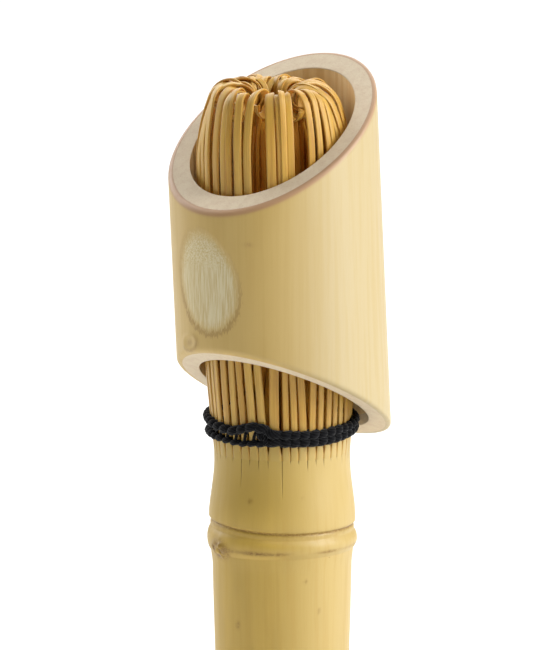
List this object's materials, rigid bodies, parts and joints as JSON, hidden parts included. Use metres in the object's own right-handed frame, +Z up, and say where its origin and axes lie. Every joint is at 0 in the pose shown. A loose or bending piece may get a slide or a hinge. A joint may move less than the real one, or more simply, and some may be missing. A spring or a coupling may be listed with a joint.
{
  "type": "bamboo tea whisk",
  "caption": "Bamboo tea whisk with curled split tines, a woven black thread and a loose bamboo sleeve cut obliquely at both ends.",
  "frame": {"origin": "centre of the handle's foot, on the surface it stands on", "axes": "+Z up along the handle, +X to the side on which the sleeve reaches highest and lowest, -Y towards the front"},
  "size_m": [0.0381, 0.0362, 0.1213],
  "materials": {
    "culm_skin": "satin natural bamboo skin",
    "tine_skin": "satin split bamboo",
    "tine_flesh": "matt bamboo inner wood",
    "thread": "matt twisted thread",
    "sleeve_bamboo": "satin bleached bamboo skin"
  },
  "bodies": {
    "whisk": {"handle": "culm_skin", "outer_tines_01": "tine_skin", "outer_tines_02": "tine_skin", "outer_tines_03": "tine_skin", "outer_tines_04": "tine_skin", "outer_tines_05": "tine_skin", "outer_tines_06": "tine_skin", "outer_tines_07": "tine_skin", "outer_tines_08": "tine_skin", "outer_tines_09": "tine_skin", "outer_tines_10": "tine_skin", "outer_tines_11": "tine_skin", "outer_tines_12": "tine_skin", "outer_tines_13": "tine_skin", "outer_tines_14": "tine_skin", "outer_tines_15": "tine_skin", "outer_tines_16": "tine_skin", "inner_tines_01": "tine_flesh", "inner_tines_02": "tine_flesh", "inner_tines_03": "tine_flesh", "inner_tines_04": "tine_flesh", "inner_tines_05": "tine_flesh", "inner_tines_06": "tine_flesh", "inner_tines_07": "tine_flesh", "inner_tines_08": "tine_flesh", "inner_tines_09": "tine_flesh", "inner_tines_10": "tine_flesh", "inner_tines_11": "tine_flesh", "inner_tines_12": "tine_flesh", "inner_tines_13": "tine_flesh", "inner_tines_14": "tine_flesh", "inner_tines_15": "tine_flesh", "inner_tines_16": "tine_flesh", "thread_low_row": "thread", "thread_top_row": "thread", "thread_inner_turn": "thread", "thread_knot": "thread"},
    "sleeve": {"sleeve": "sleeve_bamboo"}
  },
  "joints": [
    {"name": "sleeve_slide", "type": "slide", "parent": "whisk", "child": "sleeve", "axis": [-0.0436, 0, 0.999], "range_m": [-0.025, 0.07]}
  ]
}
